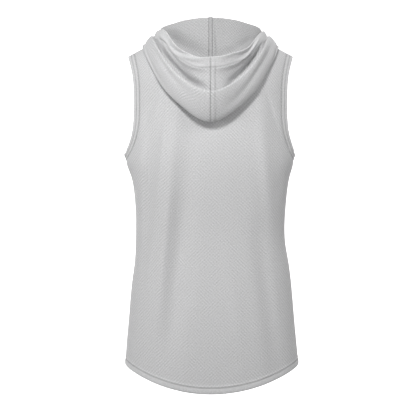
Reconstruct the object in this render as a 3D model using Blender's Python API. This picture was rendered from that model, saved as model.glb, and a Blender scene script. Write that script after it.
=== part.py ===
"""Sleeveless hooded tank top, filled out as if worn, with its hood down on the back.

Metres, +Z up. The wearer faces +Y, so the back of the garment faces -Y. The origin is the middle of the
neck opening, level with the high point of the shoulders: there the wearer's shoulders carry the garment.

The torso is one smooth form. At each height its back and front are halves of a superellipse, and its top
rounds over the shoulders to a ridge in the plane y = 0. Neckline, armholes, side seams and hem cut the two
panels out of it. The hood is a loft: each of its folds is a rail round the neck, and a smooth section runs
over the rails from the neck seam to the rim of the face opening.
"""

import bpy
import bmesh
import numpy as np

# ---- cloth and seams ------------------------------------------------------------------------------------
CLOTH = 0.0016              # one layer of the knit
TURNED = 0.0026             # the cloth where it is turned up and stitched
SEAM_GAP = 0.0003           # between two pieces that are sewn together
HEM_DEPTH = 0.0115          # turned at the bottom edge
HEM_STEP = 0.0015           # height over which the turned cloth thins to one layer
HOOD_HEM = 0.018            # turned at the hood's rim
BINDING_WIDTH = 0.014       # folded strip round the armhole
BINDING_CLOTH = 0.0024
BINDING_PROUD = 0.0004      # how far the strip stands off the panel's face
BINDING_FLARE = 0.5         # how much the strip turns outwards along the armhole's two long sides

# ---- neck and shoulders ---------------------------------------------------------------------------------
NECK_HALF = 0.082           # half the neck opening's width
NECK_BACK = (0.020, 2.0, 0.5)     # depth of the neckline and the two exponents of its scoop
NECK_FRONT = (0.100, 1.6, 1.0)
SHOULDER_HALF = 0.148       # half the width between the two armhole seams on the shoulder
SHOULDER_SLOPE = 0.33
SHOULDER_BEND = 1.8         # the ridge steepens outwards
RIDGE_BLEND = 0.012         # rounds the ridge's start beside the neck
CROWN_DEPTH = 0.080         # height over which the torso rounds over to the shoulder ridge
CROWN_POWER = 2.0

# ---- bottom edge: lowest in the middle and curved up to the side seams -----------------------------------
HEM_SIDE = -0.6318
HEM_BACK_DROP = 0.0495
HEM_FRONT_DROP = 0.0450

# ---- torso sections -------------------------------------------------------------------------------------
# Height, half-width on the left (-X) and right (+X), depth behind and in front of the shoulder plane, and the
# exponent of the horizontal section, which grows squarer below the shoulder blades.
# Above the underarm the half-widths are the form's own, and the armholes cut it further in.
TORSO = np.array([
    ( 0.040, 0.1720, 0.1720, 0.074, 0.070, 2.3),
    (-0.050, 0.1600, 0.1600, 0.084, 0.082, 2.3),
    (-0.100, 0.1560, 0.1560, 0.092, 0.094, 2.3),
    (-0.155, 0.1545, 0.1545, 0.099, 0.110, 2.4),
    (-0.195, 0.1550, 0.1550, 0.102, 0.121, 2.6),
    (-0.240, 0.1550, 0.1550, 0.103, 0.127, 2.8),
    (-0.290, 0.1495, 0.1500, 0.099, 0.122, 2.9),
    (-0.340, 0.1453, 0.1453, 0.093, 0.110, 2.9),
    (-0.398, 0.1453, 0.1453, 0.089, 0.103, 2.9),
    (-0.433, 0.1470, 0.1510, 0.090, 0.105, 2.9),
    (-0.480, 0.1530, 0.1570, 0.094, 0.111, 2.9),
    (-0.527, 0.1570, 0.1610, 0.099, 0.116, 2.9),
    (-0.573, 0.1610, 0.1650, 0.103, 0.118, 2.9),
    (-0.632, 0.1652, 0.1702, 0.105, 0.118, 2.9),
    (-0.720, 0.1665, 0.1725, 0.105, 0.117, 2.9),
])[::-1]

# ---- armhole seam: height, half-width at the seam ---------------------------------------------------------
UNDERARM = -0.240
FLARE_LEFT = 0.0087         # the side seam's top stands off the body, because the armhole gapes there
FLARE_RIGHT = 0.0062
FLARE_REACH = 0.026
ARMHOLE = np.array([
    (-0.0309, 0.1480),
    (-0.0503, 0.1436),
    (-0.0671, 0.1400),
    (-0.0867, 0.1373),
    (-0.1100, 0.1360),
    (-0.1450, 0.1358),
    (-0.1700, 0.1370),
    (-0.1900, 0.1402),
    (-0.2100, 0.1466),
    (-0.2260, 0.1540),
    (-0.2400, 0.1630),
])[::-1]

# ---- large soft folds of the panels ----------------------------------------------------------------------
# x and height at the top, x and height at the bottom, half-width, how far the fold stands out (or in, < 0)
BACK_FOLDS = [
    (-0.064, -0.105, -0.102, -0.570, 0.017, 0.0078),
    (-0.046, -0.300, -0.084, -0.660, 0.022, -0.0050),
    (-0.112, -0.150, -0.120, -0.430, 0.012, -0.0038),
    (0.092, -0.120, 0.126, -0.430, 0.014, 0.0050),
    (0.088, -0.350, 0.130, -0.680, 0.015, -0.0050),
    (-0.108, -0.090, -0.132, -0.210, 0.010, -0.0030),
    (0.108, -0.110, 0.134, -0.215, 0.010, -0.0026),
]
FRONT_FOLDS = [
    (-0.060, -0.290, -0.088, -0.660, 0.024, 0.0045),
    (0.052, -0.300, 0.080, -0.640, 0.022, 0.0040),
    (-0.108, -0.120, -0.130, -0.300, 0.014, -0.0030),
    (0.104, -0.130, 0.131, -0.310, 0.013, -0.0032),
    (0.006, -0.330, -0.012, -0.680, 0.026, -0.0030),
]

# ---- the hood's rails -----------------------------------------------------------------------------------
# Angle round the neck (0 = middle of the back, 180 = middle of the front), distance from the neck's axis,
# height. In the order in which the cloth passes over them, from the neck seam to the rim.
HOOD_RAILS = {
    "stand": [
        (0, 0.0500, 0.010), (24, 0.0530, 0.010), (48, 0.0620, 0.010), (75, 0.0780, 0.009),
        (90, 0.0815, 0.007), (110, 0.0825, -0.001), (125, 0.0845, -0.0145), (145, 0.0880, -0.0430),
        (162, 0.0905, -0.0720), (180, 0.0925, -0.0955)],
    "roll": [
        (0, 0.0560, 0.0320), (34, 0.0580, 0.0306), (52, 0.0680, 0.0274), (68, 0.0807, 0.0222),
        (77, 0.0890, 0.0194), (90, 0.0940, 0.0150), (110, 0.0925, 0.0050), (125, 0.0930, -0.0080),
        (145, 0.0940, -0.0370), (162, 0.0950, -0.0650), (180, 0.0955, -0.0915)],
    "inside high": [
        (0, 0.0655, 0.002), (24, 0.0662, 0.004), (48, 0.0760, 0.006), (60, 0.0835, 0.008),
        (75, 0.0960, 0.009),
        (90, 0.1010, 0.0060), (110, 0.0990, -0.0030), (125, 0.0990, -0.0175), (145, 0.0990, -0.0470),
        (162, 0.0990, -0.0740), (180, 0.0985, -0.0945)],
    "inside middle": [
        (0, 0.0905, -0.065), (24, 0.0925, -0.055), (36, 0.0955, -0.048), (48, 0.0985, -0.036),
        (60, 0.0965, -0.018), (75, 0.1050, -0.007), (90, 0.1095, -0.0060), (110, 0.1085, -0.0160),
        (125, 0.1065, -0.0310), (145, 0.1035, -0.0590), (162, 0.1015, -0.0830), (180, 0.0993, -0.0980)],
    "inside low": [
        (0, 0.1030, -0.138), (24, 0.1085, -0.118), (36, 0.1135, -0.098), (48, 0.1195, -0.071),
        (60, 0.1240, -0.046), (75, 0.1220, -0.0215), (90, 0.1220, -0.0115), (110, 0.1200, -0.0250),
        (125, 0.1150, -0.0450), (145, 0.1080, -0.0720), (162, 0.1040, -0.0920), (180, 0.1003, -0.1015)],
    "lowest": [
        (0, 0.1175, -0.1690), (12, 0.1185, -0.1620), (24, 0.1215, -0.1434), (36, 0.1255, -0.1218),
        (48, 0.1300, -0.0925), (57, 0.1323, -0.0661), (69, 0.1330, -0.0389), (80, 0.1325, -0.0230),
        (90, 0.1320, -0.0165), (110, 0.1300, -0.0355), (125, 0.1230, -0.0590), (145, 0.1130, -0.0840),
        (162, 0.1070, -0.0995), (180, 0.1028, -0.1045)],
    "band": [
        (0, 0.1370, -0.1460), (24, 0.1360, -0.1200), (45, 0.1365, -0.0680), (57, 0.1330, -0.0440),
        (69, 0.1290, -0.0240), (80, 0.1255, -0.0115), (90, 0.1250, -0.0075), (110, 0.1245, -0.0240),
        (125, 0.1215, -0.0440), (145, 0.1150, -0.0740), (162, 0.1100, -0.0960), (180, 0.1055, -0.1025)],
    "ridge": [
        (0, 0.1460, -0.1155), (13, 0.1436, -0.1047), (22, 0.1390, -0.0906), (33, 0.1370, -0.0683),
        (45, 0.1336, -0.0397), (63, 0.1208, -0.0125), (75, 0.1170, -0.0040), (90, 0.1160, 0.0020),
        (110, 0.1165, -0.0125), (125, 0.1170, -0.0310), (145, 0.1140, -0.0640), (162, 0.1110, -0.0900),
        (180, 0.1060, -0.0995)],
    "pocket": [
        (0, 0.1300, -0.1330), (11, 0.1275, -0.1260), (22, 0.1215, -0.1140), (33, 0.1235, -0.0900),
        (48, 0.1240, -0.0570),
        (65, 0.1150, -0.0180), (78, 0.1120, -0.0040), (90, 0.1110, 0.0020), (110, 0.1115, -0.0095),
        (125, 0.1130, -0.0250), (145, 0.1120, -0.0570), (162, 0.1105, -0.0850), (180, 0.1060, -0.0970)],
    "near wall": [
        (0, 0.1215, -0.0980), (11, 0.1200, -0.0930), (22, 0.1140, -0.0850), (33, 0.1145, -0.0660),
        (48, 0.1165, -0.0370),
        (65, 0.1105, -0.0070), (78, 0.1080, 0.0030), (90, 0.1070, 0.0060), (110, 0.1070, -0.0040),
        (125, 0.1090, -0.0180), (145, 0.1095, -0.0500), (162, 0.1100, -0.0800), (180, 0.1058, -0.0945)],
    "rim": [
        (0, 0.1300, -0.0503), (10, 0.1300, -0.0483), (20, 0.1280, -0.0415), (32, 0.1233, -0.0336),
        (45, 0.1130, -0.0176), (65, 0.1060, 0.0040), (78, 0.1050, 0.0095), (90, 0.1040, 0.0105),
        (110, 0.1035, 0.0020), (125, 0.1050, -0.0110), (145, 0.1070, -0.0430), (162, 0.1090, -0.0750),
        (180, 0.1050, -0.0920)],
}
# On the left the rim is drawn up straight: angle, extra height.
LEFT_RIM_LIFT = [
    (0, 0), (20, -0.001), (33, 0.008), (46, 0.0135), (58, 0.011), (70, 0.003), (84, 0), (110, 0), (145, 0),
    (180, 0)]

# ---- how the panels' folds and their flare fade -----------------------------------------------------------
FOLD_SWELL = 0.8            # exponent of a fold's swell along its line
FOLD_FADE = 8               # the higher, the closer to the side seams the folds run on
FLARE_FADE = 6              # the higher, the closer to the side seams the flare stays

# ---- how finely the cloth is divided ----------------------------------------------------------------------
NECK_STEPS = 8              # between the middle and the high point of the shoulder
SIDE_STEPS = 7              # from there to the armhole or side seam
YOKE_LINE = -0.135
YOKE_ROWS = 8
YOKE_CROWDING = 1.6         # the rows lie closer together near the shoulder ridge
ARMHOLE_ROWS = 6
BODY_ROWS = 12
BODY_CROWDING = 1.3         # and below the underarm
SECTION_STEPS = (2, 3, 3, 3, 2, 3, 3, 3, 4, 3, 3)   # along the hood's section, between its rails

CLOTH_COLOUR = (0.60, 0.60, 0.61, 1.0)
BINDING_COLOUR = (0.62, 0.62, 0.63, 1.0)
CLOTH_ROUGHNESS = 0.9


def spline(knots, values, at):
    """The natural cubic through values at knots, read at the places in at."""
    knots, values, at = np.asarray(knots, float), np.asarray(values, float), np.asarray(at, float)
    gap = np.diff(knots)
    matrix = np.eye(len(knots))
    right = np.zeros_like(values)
    for i in range(1, len(knots) - 1):
        matrix[i, i - 1:i + 2] = gap[i - 1], 2 * (gap[i - 1] + gap[i]), gap[i]
        right[i] = 6 * ((values[i + 1] - values[i]) / gap[i] - (values[i] - values[i - 1]) / gap[i - 1])
    bend = np.linalg.solve(matrix, right)
    i = np.clip(np.searchsorted(knots, at) - 1, 0, len(gap) - 1)
    spread = at.shape + (1,) * (values.ndim - 1)
    h = gap[i].reshape(spread)
    t = (at - knots[i]).reshape(spread) / h
    curve = (1 - t) * values[i] + t * values[i + 1]
    return curve + h * h / 6 * (((1 - t) ** 3 - (1 - t)) * bend[i] + (t ** 3 - t) * bend[i + 1])


def unit(vectors):
    return vectors / np.linalg.norm(vectors, axis=-1, keepdims=True)


def superellipse(q, power):
    """Height of a superellipse quarter of size 1 at the distance q from its middle."""
    return (1 - np.clip(np.abs(q), 0, 1) ** power) ** (1 / power)


# ---- torso form -----------------------------------------------------------------------------------------
def ridge(x):
    """Height of the shoulder ridge: level over the neck, then falling outwards ever more steeply."""
    out = np.abs(x) - NECK_HALF
    out = (out + np.sqrt(out ** 2 + RIDGE_BLEND ** 2)) / 2
    return -SHOULDER_SLOPE * out - SHOULDER_BEND * out ** 2


def half_width(x, z):
    return np.where(x < 0, spline(TORSO[:, 0], TORSO[:, 1], z), spline(TORSO[:, 0], TORSO[:, 2], z))


def flare(x, z):
    """How far the panel's edge stands out of the form near the underarm: a bell over the height."""
    return np.where(x < 0, FLARE_LEFT, FLARE_RIGHT) * np.exp(-((z - UNDERARM) / FLARE_REACH) ** 2)


def edge_half_width(x, z):
    """Half-width where the panel ends: at the armhole seam, and below the underarm at the side seam."""
    side_seam = half_width(x, z) + flare(x, z)
    near = np.clip((UNDERARM + FLARE_REACH - z) / FLARE_REACH, 0, 1)     # the armhole runs into the seam
    at_underarm = np.full_like(z, UNDERARM)
    armhole = spline(ARMHOLE[:, 0], ARMHOLE[:, 1], np.clip(z, UNDERARM, ARMHOLE[-1, 0]))
    armhole += near * (half_width(x, at_underarm) + flare(x, at_underarm) - ARMHOLE[0, 1])
    return np.where(z > UNDERARM, armhole, side_seam)


def torso_depth(x, z, side):
    """Distance of the form's face from the plane y = 0, on the back (side = -1) or the front (+1)."""
    depth = spline(TORSO[:, 0], TORSO[:, 3 if side < 0 else 4], z)
    power = spline(TORSO[:, 0], TORSO[:, 5], z)
    crown = superellipse(1 - (ridge(x) - z) / CROWN_DEPTH, CROWN_POWER)
    crown = np.where(ridge(x) - z >= CROWN_DEPTH, 1.0, crown)
    unflared = np.abs(x) - flare(x, z) * (np.abs(x) / (half_width(x, z) + flare(x, z))) ** FLARE_FADE
    return depth * superellipse(unflared / half_width(x, z), power) * crown


def neckline(x, side):
    """Height of a panel's top edge: the neckline's scoop, and outside it the shoulder ridge."""
    depth, first, second = NECK_BACK if side < 0 else NECK_FRONT
    across = np.clip(np.abs(x) / NECK_HALF, 0, 1)
    return ridge(x) - depth * (1 - across ** first) ** second


def neck_columns(side):
    """Places across the neck whose edge points lie at even angles round the neck's axis."""
    x = np.linspace(0, NECK_HALF, 400)
    angle = np.degrees(np.arctan2(x, torso_depth(x, neckline(x, side), side)))
    return np.interp(np.linspace(0, 90, NECK_STEPS + 1), angle, x)


def folds(x, z, table):
    """Sum of soft ridges and troughs: each a bell across its line that swells and dies along it."""
    total = np.zeros_like(x)
    for x_top, z_top, x_low, z_low, width, height in table:
        along = np.clip((z_top - z) / (z_top - z_low), 0, 1)
        across = (x - (x_top + (x_low - x_top) * along)) / width
        total += height * np.sin(np.pi * along) ** FOLD_SWELL * np.exp(-across ** 2)
    return total


def face_depth(x, z, side):
    """The torso's depth with the panel's folds, which die out towards the side seams."""
    share = 1 - np.clip(np.abs(x) / edge_half_width(x, z), 0, 1) ** FOLD_FADE
    return torso_depth(x, z, side) + folds(x, z, BACK_FOLDS if side < 0 else FRONT_FOLDS) * share


def face_normals(x, z, side, step=1e-5):
    """Directions square to the face, from its depth a small step away in x and in height."""
    slope_x = (face_depth(x + step, z, side) - face_depth(x - step, z, side)) / (2 * step)
    slope_z = (face_depth(x, z + step, side) - face_depth(x, z - step, side)) / (2 * step)
    return unit(np.stack([-slope_x, np.full_like(x, side), -slope_z], axis=-1))


def panel_points(side):
    """Outer face of the back (side = -1) or front (+1): points [row from top to hem, column], normals."""
    neck = neck_columns(side) / SHOULDER_HALF
    flank = np.sin(np.linspace(0, np.pi / 2, SIDE_STEPS + 1))[1:]
    half = np.concatenate([neck, neck[-1] + (1 - neck[-1]) * flank])
    s = np.concatenate([-half[:0:-1], half])
    hem_drop = HEM_BACK_DROP if side < 0 else HEM_FRONT_DROP
    hem = HEM_SIDE - hem_drop * (1 - s ** 2)
    lines = [neckline(s * SHOULDER_HALF, side), np.full_like(s, YOKE_LINE), np.full_like(s, UNDERARM),
             hem + HEM_DEPTH + HEM_STEP, hem + HEM_DEPTH, hem]
    z = [lines[0][None]]
    for above, below, rows in zip(lines, lines[1:], (YOKE_ROWS, ARMHOLE_ROWS, BODY_ROWS, 1, 1)):
        share = (np.arange(1, rows + 1) / rows)[:, None]
        if below is lines[1]:
            share = share ** YOKE_CROWDING
        if below is lines[2]:
            share = np.sin(share * np.pi / 2)           # closer together near the underarm
        if below is lines[3]:
            share = share ** BODY_CROWDING
        z.append(above + (below - above) * share)
    z = np.concatenate(z)
    x = s * edge_half_width(s, z)
    points = np.stack([x, side * (face_depth(x, z, side) + SEAM_GAP / 2), z], axis=-1)
    normals = face_normals(x, z, side)
    shoulder = np.abs(s) >= NECK_HALF / SHOULDER_HALF - 1e-6
    normals[0, shoulder, 1] = 0                         # seams are cut square to the plane y = 0
    normals[YOKE_ROWS + ARMHOLE_ROWS:, [0, -1], 1] = 0
    return points, unit(normals)


# ---- solids ---------------------------------------------------------------------------------------------
def finish(name, vertices, faces, colour):
    """An object of the given mesh, its faces pointing out, with its own material."""
    mesh = bpy.data.meshes.new(name)
    mesh.from_pydata(vertices.tolist(), [], faces.tolist())
    form = bmesh.new()
    form.from_mesh(mesh)
    bmesh.ops.recalc_face_normals(form, faces=form.faces)
    form.to_mesh(mesh)
    form.free()
    mesh.shade_smooth()
    material = bpy.data.materials.new(name)
    material.use_nodes = True
    shader = material.node_tree.nodes["Principled BSDF"]
    shader.inputs["Base Color"].default_value = colour
    shader.inputs["Roughness"].default_value = CLOTH_ROUGHNESS
    mesh.materials.append(material)
    piece = bpy.data.objects.new(name, mesh)
    bpy.context.scene.collection.objects.link(piece)


def wall(name, outer, inner, colour, ring=False):
    """Closed solid between two grids of points. With ring, the last row joins the first."""
    rows, columns = outer.shape[:2]
    index = np.arange(rows * columns).reshape(rows, columns)
    if ring:
        index = np.concatenate([index, index[:1]])
    quads = np.stack([index[:-1, :-1], index[1:, :-1], index[1:, 1:], index[:-1, 1:]], axis=-1).reshape(-1, 4)
    borders = [index[:, 0], index[:, -1]]
    if not ring:
        borders += [index[0], index[-1]]
    shift = rows * columns
    rims = [np.stack([b[:-1], b[1:], b[1:] + shift, b[:-1] + shift], axis=-1) for b in borders]
    faces = np.concatenate([quads, quads[:, ::-1] + shift] + rims)
    finish(name, np.concatenate([outer.reshape(-1, 3), inner.reshape(-1, 3)]), faces, colour)


def make_panel(name, side):
    """One body panel, thicker where its bottom edge is turned up. Returns its outer face and normals."""
    points, normals = panel_points(side)
    extra = np.zeros(len(points))
    extra[-2:] = (TURNED - CLOTH) / 2
    extra = extra[:, None, None]
    wall(name, points + normals * extra, points - normals * (CLOTH + extra), CLOTH_COLOUR)
    return points, normals


def make_binding(name, back, front, column):
    """Folded strip round an armhole, built on from the two panels' edges."""
    rows = YOKE_ROWS + ARMHOLE_ROWS + 1
    (back_points, back_normals), (front_points, front_normals) = [
        (points[:rows, column], normals[:rows, column]) for points, normals in (back, front)]
    points = np.concatenate([back_points, front_points[-2:0:-1]])
    normals = np.concatenate([back_normals, front_normals[-2:0:-1]])
    points[[0, rows - 1], 1] = 0
    around = np.roll(points, -1, axis=0) - np.roll(points, 1, axis=0)
    out = unit(np.cross(around, normals))
    right = np.sign(points[0, 0])
    out *= -right
    out[:, 0] += right * BINDING_FLARE * np.abs(out[:, 1])
    out = unit(out)
    normals = unit(normals - out * np.sum(normals * out, axis=1, keepdims=True))
    across = SEAM_GAP + BINDING_WIDTH * np.linspace(0, 1, 3)
    strip = points[:, None] + out[:, None] * across[:, None]
    wall(name, strip + normals[:, None] * BINDING_PROUD,
         strip - normals[:, None] * (BINDING_CLOTH - BINDING_PROUD), BINDING_COLOUR, ring=True)


def neck_edge(back, front):
    """Middle of the panels' neck edge from centre back to centre front on +X, its normals, its way out."""
    centre = NECK_STEPS + SIDE_STEPS
    top = slice(centre, centre + NECK_STEPS + 1)
    points = np.concatenate([back[0][0, top], front[0][0, top][-2::-1]])
    normals = np.concatenate([back[1][0, top], front[1][0, top][-2::-1]])
    out = unit(np.cross(normals, np.gradient(points, axis=0)))
    out *= np.sign(out[:, 2:] - 2 * np.sum(out[:, :2] * points[:, :2], axis=1, keepdims=True) / NECK_HALF)
    return points - normals * CLOTH / 2, normals, out


def rail(rows, angle):
    """Distance and height of a rail at the given angles. Left and right halves meet level behind the neck."""
    rows = np.array(rows)
    even = np.concatenate([rows[:0:-1] * (-1, 1, 1), rows])
    return spline(even[:, 0], even[:, 1:], angle).T


def hood_points(edge, side):
    """Middle of the hood's cloth: points [row from neck seam to rim, column from back to front], normals."""
    middle, seam_normals, out = edge
    start = middle + out * SEAM_GAP
    angle = np.degrees(np.arctan2(start[:, 0], -start[:, 1]))
    angle[0], angle[-1] = 0, 180
    rails = [start]
    for name, rows in HOOD_RAILS.items():
        radius, height = rail(rows, angle)
        if name == "rim" and side < 0:
            lift = np.array(LEFT_RIM_LIFT)
            height = height + spline(lift[:, 0], lift[:, 1], angle)
        turn = np.radians(angle)
        rails.append(np.stack([radius * np.sin(turn), -radius * np.cos(turn), height], axis=-1))
    rails = np.array(rails)
    length = np.cumsum(np.append(0, np.linalg.norm(np.diff(rails[:, 0], axis=0), axis=1)))
    stops = [np.linspace(a, b, steps, endpoint=False)
             for a, b, steps in zip(length, length[1:], SECTION_STEPS)]
    stops = np.append(np.concatenate(stops), length[-1])
    last = length[-1] - HOOD_HEM
    stops[np.argmin(np.abs(stops - last))] = last
    points = spline(length, rails.reshape(len(rails), -1), stops).reshape(len(stops), -1, 3)
    points[:, 0, 0], points[:, -1, 0] = SEAM_GAP / 2, SEAM_GAP / 2
    normals = np.cross(np.gradient(points, axis=1), np.gradient(points, axis=0))
    normals[:, [0, -1], 0] = 0
    normals = unit(normals)
    normals[0] = seam_normals
    points[..., 0] *= side
    normals[..., 0] *= side
    return points, normals, stops >= last - 1e-9


def make_hood(name, edge, side):
    """One half of the hood, thicker where its rim is turned."""
    points, normals, turned = hood_points(edge, side)
    half = np.where(turned, TURNED, CLOTH)[:, None, None] / 2
    wall(name, points + normals * half, points - normals * half, CLOTH_COLOUR)


def main():
    for old in list(bpy.data.objects):
        bpy.data.objects.remove(old)
    back = make_panel("back_panel", -1)
    front = make_panel("front_panel", 1)
    make_binding("armhole_band_left", back, front, 0)
    make_binding("armhole_band_right", back, front, -1)
    edge = neck_edge(back, front)
    make_hood("hood_left", edge, -1)
    make_hood("hood_right", edge, 1)


main()
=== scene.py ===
"""Hooded tank top of pale grey knit, filled out as if worn, with its hood down on the back.

The CAD frame gives the solids, and every piece of cloth here replaces one of them. It is the same form,
worked out again on a fine grid: the same named values and formulas as in the part's own source, and over them
the creases, seam puckers, turned hems and stitch grooves. Metres, +Z up, the wearer faces +Y, and the origin
is the middle of the neck opening, level with the high point of the shoulders.
"""

import math

import bpy
import numpy as np
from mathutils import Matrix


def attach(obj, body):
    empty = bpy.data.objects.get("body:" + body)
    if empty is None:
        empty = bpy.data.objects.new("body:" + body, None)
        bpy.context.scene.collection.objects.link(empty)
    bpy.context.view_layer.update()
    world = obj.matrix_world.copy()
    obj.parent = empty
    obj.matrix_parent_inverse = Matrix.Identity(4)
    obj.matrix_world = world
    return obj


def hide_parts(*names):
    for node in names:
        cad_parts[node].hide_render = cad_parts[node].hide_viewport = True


BACK, FRONT = -1, 1
LEFT, RIGHT = -1, 1

# ---- cloth and seams, as in the part's source ----
CLOTH = 0.0016              # one layer of the knit
TURNED = 0.0026             # the cloth where it is turned up and stitched
SEAM_GAP = 0.0003           # between two pieces that are sewn together
HOOD_HEM = 0.018            # turned at the hood's rim
BINDING_WIDTH = 0.014
BINDING_CLOTH = 0.0024
BINDING_PROUD = 0.0004      # how far the strip stands off the panel's face
BINDING_FLARE = 0.5         # how much the strip turns outwards along the armhole's two long sides

NECK_HALF = 0.082           # half the neck opening's width
NECK_BACK = (0.020, 2.0, 0.5)       # scoop of the neckline: depth and two exponents
NECK_FRONT = (0.100, 1.6, 1.0)
SHOULDER_HALF = 0.148       # half the width between the two armhole seams on the shoulder
SHOULDER_SLOPE = 0.33
SHOULDER_BEND = 1.8         # the ridge steepens outwards
RIDGE_BLEND = 0.012         # rounds the ridge's start beside the neck
CROWN_DEPTH = 0.080         # height over which the torso rounds over to the shoulder ridge
CROWN_POWER = 2.0
HEM_SIDE = -0.6318
HEM_BACK_DROP = 0.0495
HEM_FRONT_DROP = 0.0450
YOKE_LINE = -0.135          # down to here the rows follow the neckline and shoulders
UNDERARM = -0.240
FLARE_LEFT = 0.0087         # the side seam's top stands off the body, because the armhole gapes there
FLARE_RIGHT = 0.0062
FLARE_REACH = 0.026
FOLD_SWELL = 0.8            # exponent of a fold's swell along its line
FOLD_FADE = 8               # the higher, the closer to the side seams the folds run on
FLARE_FADE = 6              # the higher, the closer to the side seams the flare stays

# height, half-width on the left (-X) and right (+X), depth behind and in front of the shoulder plane,
# exponent of the horizontal section
LEFT_HALF, RIGHT_HALF, BACK_DEPTH, FRONT_DEPTH, SECTION_POWER = range(1, 6)
TORSO = np.array([
    ( 0.040, 0.1720, 0.1720, 0.074, 0.070, 2.3),
    (-0.050, 0.1600, 0.1600, 0.084, 0.082, 2.3),
    (-0.100, 0.1560, 0.1560, 0.092, 0.094, 2.3),
    (-0.155, 0.1545, 0.1545, 0.099, 0.110, 2.4),
    (-0.195, 0.1550, 0.1550, 0.102, 0.121, 2.6),
    (-0.240, 0.1550, 0.1550, 0.103, 0.127, 2.8),
    (-0.290, 0.1495, 0.1500, 0.099, 0.122, 2.9),
    (-0.340, 0.1453, 0.1453, 0.093, 0.110, 2.9),
    (-0.398, 0.1453, 0.1453, 0.089, 0.103, 2.9),
    (-0.433, 0.1470, 0.1510, 0.090, 0.105, 2.9),
    (-0.480, 0.1530, 0.1570, 0.094, 0.111, 2.9),
    (-0.527, 0.1570, 0.1610, 0.099, 0.116, 2.9),
    (-0.573, 0.1610, 0.1650, 0.103, 0.118, 2.9),
    (-0.632, 0.1652, 0.1702, 0.105, 0.118, 2.9),
    (-0.720, 0.1665, 0.1725, 0.105, 0.117, 2.9),
])[::-1]

# armhole seam: height, half-width
ARMHOLE = np.array([
    (-0.0309, 0.1480),
    (-0.0503, 0.1436),
    (-0.0671, 0.1400),
    (-0.0867, 0.1373),
    (-0.1100, 0.1360),
    (-0.1450, 0.1358),
    (-0.1700, 0.1370),
    (-0.1900, 0.1402),
    (-0.2100, 0.1466),
    (-0.2260, 0.1540),
    (-0.2400, 0.1630),
])[::-1]

# Folds: x and height at the top, x and height at the bottom, half-width, how far the fold stands out.
# The first rows of each table are the solids' own folds, and the finer creases follow.
BACK_FOLDS = [
    (-0.064, -0.105, -0.102, -0.570, 0.017, 0.0078),
    (-0.046, -0.300, -0.084, -0.660, 0.022, -0.0050),
    (-0.112, -0.150, -0.120, -0.430, 0.012, -0.0038),
    (0.092, -0.120, 0.126, -0.430, 0.014, 0.0050),
    (0.088, -0.350, 0.130, -0.680, 0.015, -0.0050),
    (-0.108, -0.090, -0.132, -0.210, 0.010, -0.0030),
    (0.108, -0.110, 0.134, -0.215, 0.010, -0.0026),
]
BACK_CREASES = [
    (-0.092, -0.078, -0.138, -0.205, 0.0085, -0.0036),
    (-0.118, -0.150, -0.140, -0.232, 0.0040, -0.0010),
    (0.104, -0.105, 0.138, -0.210, 0.0050, -0.0022),
    (0.126, -0.165, 0.146, -0.240, 0.0040, -0.0009),
    (-0.146, -0.232, -0.118, -0.300, 0.0050, -0.0009),
    (0.150, -0.236, 0.120, -0.315, 0.0050, -0.0008),
    (-0.020, -0.400, -0.085, -0.610, 0.0120, -0.0014),
    (0.024, -0.380, 0.062, -0.620, 0.0140, 0.0012),
    (-0.045, -0.150, -0.058, -0.330, 0.0130, 0.0011),
    (0.052, -0.170, 0.060, -0.360, 0.0150, -0.0010),
    (-0.131, -0.165, -0.136, -0.420, 0.0085, 0.0026),
    (-0.078, -0.105, -0.124, -0.500, 0.0068, 0.0046),
    (-0.034, -0.130, -0.082, -0.640, 0.0230, -0.0060),
    (-0.115, -0.140, -0.126, -0.460, 0.0085, -0.0030),
]
FRONT_FOLDS = [
    (-0.060, -0.290, -0.088, -0.660, 0.024, 0.0045),
    (0.052, -0.300, 0.080, -0.640, 0.022, 0.0040),
    (-0.108, -0.120, -0.130, -0.300, 0.014, -0.0030),
    (0.104, -0.130, 0.131, -0.310, 0.013, -0.0032),
    (0.006, -0.330, -0.012, -0.680, 0.026, -0.0030),
]
FRONT_CREASES = [
    (-0.096, -0.100, -0.134, -0.215, 0.0050, -0.0012),
    (0.098, -0.110, 0.136, -0.222, 0.0050, -0.0011),
    (-0.143, -0.236, -0.080, -0.262, 0.0060, -0.0010),
    (0.145, -0.238, 0.086, -0.268, 0.0060, -0.0011),
    (-0.030, -0.260, -0.052, -0.480, 0.0130, 0.0013),
    (0.034, -0.270, 0.022, -0.520, 0.0120, -0.0012),
    (-0.110, -0.330, -0.118, -0.600, 0.0120, -0.0013),
    (0.112, -0.350, 0.120, -0.610, 0.0130, 0.0012),
]

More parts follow.
